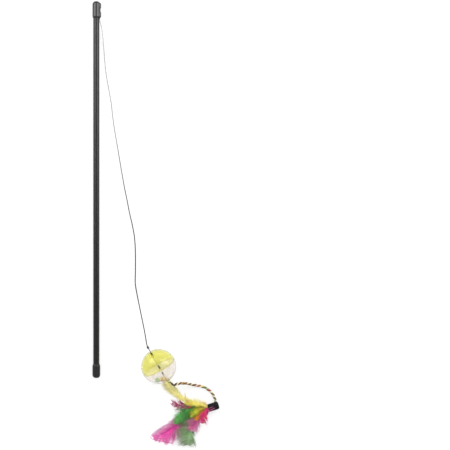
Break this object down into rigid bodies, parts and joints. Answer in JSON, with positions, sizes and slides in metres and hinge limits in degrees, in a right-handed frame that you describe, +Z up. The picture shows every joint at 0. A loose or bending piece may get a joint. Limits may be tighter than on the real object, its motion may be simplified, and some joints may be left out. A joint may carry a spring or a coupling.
{
  "type": "cat teaser wand",
  "caption": "Cat teaser wand laid flat: black rod with end caps, elastic string, two-coloured see-through rattle ball and a bunch of dyed feathers on a twisted cord.",
  "frame": {"origin": "middle of the laid-out toy's footprint, on the surface that it lies on", "axes": "+Z up, +Y along the rod towards its string end, +X from the rod towards the ball and feathers"},
  "size_m": [0.1523, 0.5356, 0.042],
  "materials": {
    "rod_black": "gloss",
    "cap_black": "satin",
    "elastic": "matte",
    "clear_yellow": "gloss",
    "clear": "gloss",
    "bead_green": "gloss",
    "bead_orange": "gloss",
    "twisted_cord": "matte",
    "sleeve_black": "satin",
    "glue": "matte",
    "feather_magenta": "matte",
    "feather_crimson": "matte",
    "feather_yellow_long": "matte",
    "feather_sage": "matte",
    "feather_green": "matte",
    "feather_purple": "matte",
    "feather_orange": "matte",
    "feather_lime": "matte",
    "feather_yellow_short": "matte",
    "feather_pink": "matte"
  },
  "bodies": {
    "wand": {"rod": "rod_black", "top_cap": "cap_black", "butt_cap": "cap_black", "string_anchor": "elastic"},
    "swivel": {"mouth_knot": "elastic"},
    "line": {"string": "elastic", "upper_knot": "elastic", "ball_string": "elastic", "lower_knot": "elastic"},
    "ball": {"ball_yellow_half": "clear_yellow", "ball_clear_half": "clear"},
    "green_rattle": {"green_bead": "bead_green"},
    "orange_rattle": {"orange_bead": "bead_orange"},
    "tail": {"cord_knot": "twisted_cord", "twisted_cord": "twisted_cord", "ferrule": "sleeve_black", "quill_plug": "glue", "magenta_feather": "feather_magenta", "crimson_feather": "feather_crimson", "yellow_long_feather": "feather_yellow_long", "sage_feather": "feather_sage", "green_feather": "feather_green", "purple_feather": "feather_purple", "orange_feather": "feather_orange", "lime_feather": "feather_lime", "yellow_short_feather": "feather_yellow_short", "pink_feather": "feather_pink"}
  },
  "joints": [
    {"name": "string_swing", "type": "hinge", "parent": "wand", "child": "swivel", "pos_m": [-0.06749, 0.2462, 0.00782], "axis": [0, 0, 1], "range_deg": [-6, 115]},
    {"name": "string_lift", "type": "hinge", "parent": "swivel", "child": "line", "pos_m": [-0.06749, 0.2462, 0.00782], "axis": [-0.9893, -0.146, 0], "range_deg": [0, 90]},
    {"name": "ball_spin", "type": "hinge", "parent": "line", "child": "ball", "pos_m": [0.0039, -0.1699, 0.021], "axis": [-0.4787, 0.853, 0.2079], "continuous": true},
    {"name": "green_bead_roll", "type": "hinge", "parent": "ball", "child": "green_rattle", "pos_m": [0.0039, -0.1699, 0.021], "axis": [1, 0, 0], "continuous": true},
    {"name": "orange_bead_roll", "type": "hinge", "parent": "ball", "child": "orange_rattle", "pos_m": [0.0039, -0.1699, 0.021], "axis": [1, 0, 0], "continuous": true},
    {"name": "tail_swing", "type": "hinge", "parent": "line", "child": "tail", "pos_m": [0.018, -0.189, 0.0153], "axis": [0, 0, 1], "range_deg": [-60, 45]}
  ]
}
